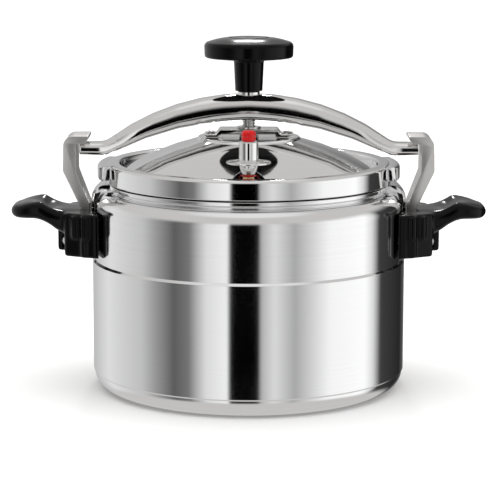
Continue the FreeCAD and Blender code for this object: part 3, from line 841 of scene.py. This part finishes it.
class CANNER_OT_lid(bpy.types.Operator):
    """Turns the domed lid with its gutter, rim and skirt, and adds its two side lugs"""

    bl_idname = "canner.lid"
    bl_label = "Lid"

    def execute(self, context):
        steps = context.scene.canner_sizes.turning_steps
        under = LID_TOP - 2.2
        bm = turned([
            (0, under),
            (PLATEAU - 1.5, under),
            (94, 167.2, -225),
            (97.5, 164.3),
            (99.3, 164.3),
            (100.7, 165.7, 1.4),
            (100.7, 171.6, 0, 0.6),
            (106.8, 171.6, 0, 0.6),
            (106.8, SKIRT_LOW, 0, 0.5),
            (109, SKIRT_LOW, 0, 0.7),
            (109, 170.8),
            (106, 173.8, 3),
            (100.4, 173.8),
            (98.5, 171.9, 1.9),
            (98.5, 167.8),
            (97.2, 166.5, -1.3),
            (96.6, 166.6),
            (94.8, 169.2, 0, 1.5),
            (PLATEAU + 1, LID_TOP - 2, 225),
            (PLATEAU, LID_TOP - 1),
            (PLATEAU - 1, LID_TOP, 1),
            (0, LID_TOP),
        ], steps)
        finished(
            bm, "lid_dome", "lid", MATERIALS["polished_aluminium"], ["lid_shell"], 24
        )
        span = math.asin(32 / 113)
        for side, name in ((1, "right"), (-1, "left")):
            bm = bmesh.new()
            line = fine_line([
                (107.6, 162.4), (115.8, 162.4, 0, 0.8), (115.8, 170.4), (113, 173.2, 2.8), (107.6, 173.2),
            ], closed=True)
            verts = [bm.verts.new((point.x * MM, 0, point.y * MM)) for point in line]
            face = bm.faces.new(verts)
            start = -span if side > 0 else math.pi - span
            bmesh.ops.rotate(bm, verts=verts, cent=(0, 0, 0), matrix=Matrix.Rotation(start, 3, "Z"))
            bmesh.ops.spin(bm, geom=[face], cent=(0, 0, 0), axis=UP, angle=2 * span, steps=26)
            bmesh.ops.remove_doubles(bm, verts=bm.verts, dist=1e-7)
            soften(bm, 0.35, 2, 70)
            finished(
                bm, "lid_lug_" + name, "lid", MATERIALS["polished_aluminium"], sharp=28
            )
        return {"FINISHED"}


class CANNER_OT_gasket(bpy.types.Operator):
    """Turns the sealing ring with its two soft lips"""

    bl_idname = "canner.gasket"
    bl_label = "Gasket"

    def execute(self, context):
        lip = low("sealing_gasket", "z")
        top = high("sealing_gasket", "z")
        bm = turned([
            (101, lip + 0.2, 0, 0.4), (102.4, lip, 0, 0.4), (103.2, lip + 1.8, 0, 0.6),
            (104.4, lip + 1.8, 0, 0.6),
            (105.2, lip, 0, 0.4), (106.6, lip + 0.2, 0, 0.4), (106.6, top, 0, 0.7), (101, top, 0, 0.7),
        ], context.scene.canner_sizes.turning_steps, closed=True)
        finished(bm, "gasket_ring", "lid", MATERIALS["silicone"], ["sealing_gasket"])
        return {"FINISHED"}


class CANNER_OT_bridge(bpy.types.Operator):
    """Bends the steel bridge over the screw's foot, and sets its two rivets"""

    bl_idname = "canner.bridge"
    bl_label = "Bridge"

    def execute(self, context):
        base = LID_TOP + 0.02
        bm = bmesh.new()
        extruded(bm, [
            (-34, base), (-20, base), (-20, base + 2.2), (20, base + 2.2), (20, base), (34, base),
            (34, base + 2, 0, 0.5), (25, base + 2, 0, 1), (22, base + 5.8, 0, 2),
            (-22, base + 5.8, 0, 2), (-25, base + 2, 0, 1), (-34, base + 2, 0, 0.5),
        ], 24)
        soften(bm, 0.9, 3, 60)
        finished(bm, "screw_bridge", "lid", MATERIALS["chrome"], ["lid_bridge"])
        bm = bmesh.new()
        for x in (-29, 29):
            head = turned([
                (0, base - 3.6), (3.9, base - 3.6, 0, 0.4), (3.9, base - 2.3), (2.4, base - 2.2),
                (2.4, base + 2),
                (4.4, base + 2), (0, base + 4.3, 5.4),
            ], 48, x=x)
            add_part(bm, head)
        finished(bm, "domed_rivets", "lid", MATERIALS["chrome"], ["bridge_rivets"])
        return {"FINISHED"}


class CANNER_OT_working_valve(bpy.types.Operator):
    """Turns the working valve: red seal, weight, drip disc and red cap"""

    bl_idname = "canner.working_valve"
    bl_label = "Working valve"

    def execute(self, context):
        foot = VALVE_FOOT
        chrome = MATERIALS["valve_chrome"]
        red = MATERIALS["red_silicone"]
        seal = turned([
            (2.4, foot - 1.5), (5, foot - 1.5, 0, 0.3), (5, foot - 0.5, 0, 0.3), (4.4, foot, 0, 0.2),
            (2.4, foot),
        ], closed=True, y=VALVE_Y)
        finished(seal, "valve_seal", "lid", red, ["vent_seal"])
        weight = turned([
            (2.7, foot + 0.3), (4.4, foot + 0.3, 0, 0.3), (6.7, foot + 7.5, 14), (7, foot + 8.1, 0, 0.3),
            (7, foot + 23.2), (6.2, foot + 24, 0.8), (0, foot + 24), (0, foot + 14), (2.7, foot + 14),
        ], closed=True, y=VALVE_Y)
        finished(weight, "valve_weight", "weight", chrome, ["weight_body"])
        disc = turned([
            (6.9, foot + 9.3), (16.2, foot + 8.1, 0, 0.5), (16.2, foot + 9.4, 0, 0.5), (6.9, foot + 11.1),
        ], closed=True, y=VALVE_Y)
        finished(disc, "valve_disc", "weight", chrome, ["weight_disc"])
        cap = turned([
            (0, foot + 24), (4.4, foot + 24, 0, 0.3), (5.3, foot + 26, 3), (5.3, foot + 27.2, 0, 0.2),
            (4.9, foot + 27.5, 0, 0.2), (4.9, foot + 28, 0, 0.2), (5.3, foot + 28.3, 0, 0.2),
            (5.3, foot + 29.4),
            (2.6, foot + 32.2, 2.9), (0, foot + 32.2),
        ], y=VALVE_Y)
        button = finished(cap, "valve_cap", "weight", red, ["weight_cap"])
        button.visible_glossy = False
        return {"FINISHED"}


class CANNER_OT_relief_valve(bpy.types.Operator):
    """Turns the red plug of the over-pressure valve"""

    bl_idname = "canner.relief_valve"
    bl_label = "Relief valve"

    def execute(self, context):
        seat = RELIEF_TOP - 2.7
        plug = turned([
            (0, low("relief_plug", "z")), (3, low("relief_plug", "z"), 0, 0.3), (3, seat), (5, seat, 0, 0.3),
            (5, seat + 1.3, 0, 0.3), (3.4, RELIEF_TOP, 2.4), (0, RELIEF_TOP),
        ], y=RELIEF_Y)
        finished(plug, "relief_button", "relief", MATERIALS["red_silicone"], ["relief_plug"])
        return {"FINISHED"}


# ---------------------------------------------------------------- screw, knob and yoke

class CANNER_OT_knob(bpy.types.Operator):
    """Turns the black knob with its waisted stem, and the disc let into its top"""

    bl_idname = "canner.knob"
    bl_label = "Knob"

    def execute(self, context):
        steps = context.scene.canner_sizes.turning_steps
        top = KNOB_TOP
        edge = KNOB_RADIUS
        bm = turned([
            (5, KNOB_LOW), (10.4, KNOB_LOW, 0, 0.5), (11.4, 249.2), (13.4, 251.2, -2),
            (edge - 2, 253.2), (edge - 0.2, 255.2, 2), (edge, 261.5), (edge - 3, 265.3, 3.8),
            (16, top - 0.1, 62), (14.7, top - 1.1, 1.4), (14.5, top - 1.2), (0, top - 1.2),
            (0, top - 8), (5, top - 8),
        ], steps // 2, closed=True)
        finished(bm, "moulded_knob", "screw", MATERIALS["black_moulding"], ["knob"], 24)
        bm = turned([
            (0, top - 1.2), (14.1, top - 1.2), (14.1, top - 0.5), (13.3, top + 0.1, 0.8),
            (9, top - 0.1), (0, top - 0.5),
        ], steps // 2)
        finished(bm, "knob_disc", "screw", MATERIALS["black_moulding"], ["knob_cap"], 24)
        return {"FINISHED"}


class CANNER_OT_screw(bpy.types.Operator):
    """Winds the clamping screw's thread round its core, with the foot below"""

    bl_idname = "canner.screw"
    bl_label = "Screw"

    def execute(self, context):
        foot = low("screw_spindle", "z")
        end = high("screw_spindle", "z")
        pitch = context.scene.canner_sizes.screw_pitch / MM
        bm = turned([
            (0, foot), (7.5, foot, 0, 0.3), (7.5, foot + 1.7, 0, 0.3), (4.1, foot + 1.7), (4.1, end),
            (0, end),
        ])
        start = foot + 3.4
        turns = math.floor((end - 1 - start) / pitch) - 1
        places = [(4.0, -0.42 * pitch), (4.9, -0.1 * pitch), (4.9, 0.1 * pitch), (4.0, 0.42 * pitch)]
        verts = [bm.verts.new((across * MM, 0, (start + rise) * MM)) for across, rise in places]
        face = bm.faces.new(verts)
        steps = 40
        climb = pitch / steps * MM
        bmesh.ops.spin(
            bm, geom=[face], cent=(0, 0, 0), axis=UP, dvec=(0, 0, climb), angle=FULL_TURN * turns,
            steps=steps * turns,
        )
        finished(bm, "threaded_screw", "screw", MATERIALS["steel"], ["screw_spindle"])
        return {"FINISHED"}


class CANNER_OT_yoke(bpy.types.Operator):
    """Lofts the arched yoke, round on top and flat at the sides, and turns its bush"""

    bl_idname = "canner.yoke"
    bl_label = "Yoke"

    def section(self, x, crown, belly):
        """Cross-section of the arch: a flat side between a wide top rounding and a smaller lower one."""
        top = height_at(crown, x)
        bottom = height_at(belly, x)
        thick = top - bottom
        narrowing = min(max((abs(x) - 84) / 34, 0), 1)
        half = 14 - 4.4 * narrowing * narrowing * (3 - 2 * narrowing)
        upper = min(0.5 * thick, half - 1)
        lower = 0.4 * thick
        outline = [
            (-half, bottom, 0, lower), (half, bottom, 0, lower), (half, top, 0, upper),
            (-half, top, 0, upper),
        ]
        return [Vector((x, point.x, point.y)) for point in fine_line(outline, closed=True)]

    def execute(self, context):
        reach = YOKE_REACH
        belly = fine_line([
            (-reach, 179.4), (-112, 178.9), (-104, 181, 18), (0, 205.9, -229.6), (104, 181, -229.6),
            (112, 178.9, 18), (reach, 179.4),
        ])
        crown = fine_line([
            (-reach, 188.2), (-114.2, 188.5), (-106, 191.2, 14), (0, YOKE_CROWN, -180), (106, 191.2, -180),
            (114.2, 188.5, 14), (reach, 188.2),
        ])
        stations = 150
        loops = []
        for number in range(stations + 1):
            x = reach * math.sin(math.pi * (number / stations - 0.5))
            x = x * 0.5 + reach * (number / stations * 2 - 1) * 0.5
            loops.append(self.section(x, crown, belly))
        bm = bmesh.new()
        lofted(bm, loops)
        soften(bm, 1.4, 3, 60)
        finished(bm, "yoke_arch", "yoke", MATERIALS["chrome"], ["yoke_beam"], 40)
        top = high("yoke_bush", "z")
        collar = turned([
            (5.3, 206.2), (7.9, 206.2), (7.9, YOKE_CROWN - 0.6), (8.3, YOKE_CROWN - 0.4, 0, 0.1),
            (8.3, top - 0.5, 0, 0.3), (7.8, top, 0, 0.2), (5.3, top),
        ], closed=True)
        finished(collar, "threaded_bush", "yoke", MATERIALS["chrome"], ["yoke_bush"])
        return {"FINISHED"}


# ---------------------------------------------------------------- studio

# Soft boxes and dark flags round the object: angle from the camera's side, to the right, and brightness.
STUDIO_PANELS = [
    (-180, 0.45), (-150, 0.6), (-125, 0.82), (-85, 0.6), (-72, 0.36), (-56, 0.12), (-44, 0.2), (-31, 0.8),
    (-15, 1.0), (-13.5, 0.0), (7.5, 0.0), (9, 0.5), (19, 0.8), (34, 0.44), (62, 1.05), (95, 1.15), (104, 0.8),
    (113, 0.05), (150, 0.02), (163, 0.1), (180, 0.45),
]


class CANNER_OT_studio(bpy.types.Operator):
    """Sets up the pale floor, the soft studio light and the camera"""

    bl_idname = "canner.studio"
    bl_label = "Studio"

    def make_floor(self, studio):
        bm = bmesh.new()
        bmesh.ops.create_grid(bm, x_segments=8, y_segments=8, size=studio.floor_size / 2)
        mesh = bpy.data.meshes.new("floor")
        bm.to_mesh(mesh)
        bm.free()
        floor = bpy.data.objects.new("floor", mesh)
        bpy.context.scene.collection.objects.link(floor)
        floor.visible_glossy = False
        finish = Finish("pale_floor")
        finish.set(Base_Color=(*studio.floor_colour, 1), Roughness=0.9, Specular_IOR_Level=0.0)
        mesh.materials.append(finish.material)

    def make_surroundings(self):
        """A ring of soft boxes and flags seen only in reflections; straight on, the background is plain."""
        world = bpy.data.worlds.new("studio")
        bpy.context.scene.world = world
        world.use_nodes = True
        tree = world.node_tree
        tree.nodes.clear()

        def node(kind, **settings):
            made = tree.nodes.new(kind)
            for key, setting in settings.items():
                setattr(made, key, setting)
            return made

        direction = node("ShaderNodeTexCoord").outputs["Generated"]
        parts = node("ShaderNodeSeparateXYZ")
        tree.links.new(direction, parts.inputs["Vector"])
        ahead = node("ShaderNodeMath", operation="MULTIPLY")
        ahead.inputs[1].default_value = -1
        tree.links.new(parts.outputs["Y"], ahead.inputs[0])
        bearing = node("ShaderNodeMath", operation="ARCTAN2")
        tree.links.new(parts.outputs["X"], bearing.inputs[0])
        tree.links.new(ahead.outputs["Value"], bearing.inputs[1])
        share = node("ShaderNodeMapRange")
        share.inputs["From Min"].default_value = -math.pi
        share.inputs["From Max"].default_value = math.pi
        tree.links.new(bearing.outputs["Value"], share.inputs["Value"])
        ring = node("ShaderNodeValToRGB")
        ramp = ring.color_ramp
        while len(ramp.elements) > 1:
            ramp.elements.remove(ramp.elements[-1])
        for number, (angle, light) in enumerate(STUDIO_PANELS):
            place = (angle + 180) / 360
            stop = ramp.elements[0] if number == 0 else ramp.elements.new(place)
            stop.position = place
            stop.color = (light, light, light, 1)
        tree.links.new(share.outputs["Result"], ring.inputs["Fac"])

        def band(first, last):
            made = node("ShaderNodeMapRange", interpolation_type="SMOOTHSTEP")
            made.inputs["From Min"].default_value = math.sin(math.radians(first))
            made.inputs["From Max"].default_value = math.sin(math.radians(last))
            tree.links.new(parts.outputs["Z"], made.inputs["Value"])
            return made.outputs["Result"]

        def mixed(fac, first, second):
            made = node("ShaderNodeMix", data_type="RGBA")
            tree.links.new(fac, made.inputs[0])
            sockets = [socket for socket in made.inputs if socket.type == "RGBA"]
            for socket, source in zip(sockets, (first, second)):
                if isinstance(source, tuple):
                    socket.default_value = source
                else:
                    tree.links.new(source, socket)
            return next(socket for socket in made.outputs if socket.type == "RGBA")

        ceiling = mixed(band(12, 32), ring.outputs["Color"], (0.62, 0.61, 0.6, 1))
        zenith = mixed(band(60, 80), ceiling, (0.85, 0.85, 0.85, 1))
        around = mixed(band(-24, -34), zenith, (0.62, 0.61, 0.6, 1))
        path = node("ShaderNodeLightPath")
        seen = mixed(path.outputs["Is Camera Ray"], around, (1.0, 1.0, 1.0, 1))
        background = node("ShaderNodeBackground")
        tree.links.new(seen, background.inputs["Color"])
        output = node("ShaderNodeOutputWorld")
        tree.links.new(background.outputs["Background"], output.inputs["Surface"])

    def make_overhead(self, studio):
        """Even soft light from above, which metal doesn't mirror."""
        lamp = bpy.data.lights.new("overhead", "SUN")
        lamp.energy = studio.overhead_strength
        lamp.angle = math.radians(70)
        overhead = bpy.data.objects.new("overhead", lamp)
        overhead.location = (0, 0, 2)
        overhead.visible_glossy = False
        bpy.context.scene.collection.objects.link(overhead)

    def make_glint(self, studio):
        """Small bright light behind the object, for the glints on its black mouldings."""
        lamp = bpy.data.lights.new("glint", "AREA")
        lamp.energy = studio.glint_power
        lamp.shape = "DISK"
        lamp.size = 0.2
        glint = bpy.data.objects.new("glint", lamp)
        glint.location = (0, 1.3, 0.95)
        glint.rotation_euler = glint.location.to_track_quat("Z", "Y").to_euler()
        bpy.context.scene.collection.objects.link(glint)

    def make_camera(self, studio):
        lens = bpy.data.cameras.new("camera")
        lens.lens = studio.lens
        lens.sensor_width = 36
        camera = bpy.data.objects.new("camera", lens)
        camera.location = (studio.aside, -studio.distance, studio.height)
        look = Matrix.Rotation(math.pi / 2 - studio.tilt, 4, "X") @ Matrix.Rotation(studio.roll, 4, "Z")
        camera.rotation_euler = look.to_euler()
        bpy.context.scene.collection.objects.link(camera)
        bpy.context.scene.camera = camera

    def execute(self, context):
        studio = context.scene.canner_studio
        self.make_floor(studio)
        self.make_surroundings()
        self.make_overhead(studio)
        self.make_glint(studio)
        self.make_camera(studio)
        context.scene.view_settings.view_transform = "Standard"
        return {"FINISHED"}


# ---------------------------------------------------------------- add-on

OPERATORS = [
    CANNER_OT_finishes, CANNER_OT_pot, CANNER_OT_ears, CANNER_OT_hooks, CANNER_OT_handles, CANNER_OT_nuts,
    CANNER_OT_lid, CANNER_OT_gasket, CANNER_OT_bridge, CANNER_OT_working_valve, CANNER_OT_relief_valve,
    CANNER_OT_knob, CANNER_OT_screw, CANNER_OT_yoke, CANNER_OT_studio,
]
GROUPS = {"canner_sizes": CannerSizes, "canner_colours": CannerColours, "canner_studio": StudioSettings}


class CANNER_PT_pieces(bpy.types.Panel):
    """Lists the sizes, the colours and an operator for each piece"""

    bl_idname = "CANNER_PT_pieces"
    bl_label = "Pressure canner"
    bl_space_type = "VIEW_3D"
    bl_region_type = "UI"
    bl_category = "Canner"

    def draw(self, context):
        for group, kind in GROUPS.items():
            settings = getattr(context.scene, group)
            box = self.layout.box()
            for name in kind.__annotations__:
                box.prop(settings, name)
        for operator in OPERATORS:
            self.layout.operator(operator.bl_idname)


def register():
    for group in GROUPS.values():
        bpy.utils.register_class(group)
    for operator in OPERATORS:
        bpy.utils.register_class(operator)
    bpy.utils.register_class(CANNER_PT_pieces)
    for name, group in GROUPS.items():
        setattr(bpy.types.Scene, name, bpy.props.PointerProperty(type=group))


def unregister():
    for name in GROUPS:
        delattr(bpy.types.Scene, name)
    bpy.utils.unregister_class(CANNER_PT_pieces)
    for operator in reversed(OPERATORS):
        bpy.utils.unregister_class(operator)
    for group in GROUPS.values():
        bpy.utils.unregister_class(group)


def main():
    register()
    for operator in OPERATORS:
        family, action = operator.bl_idname.split(".")
        getattr(getattr(bpy.ops, family), action)()


if __name__ == "__main__":
    main()
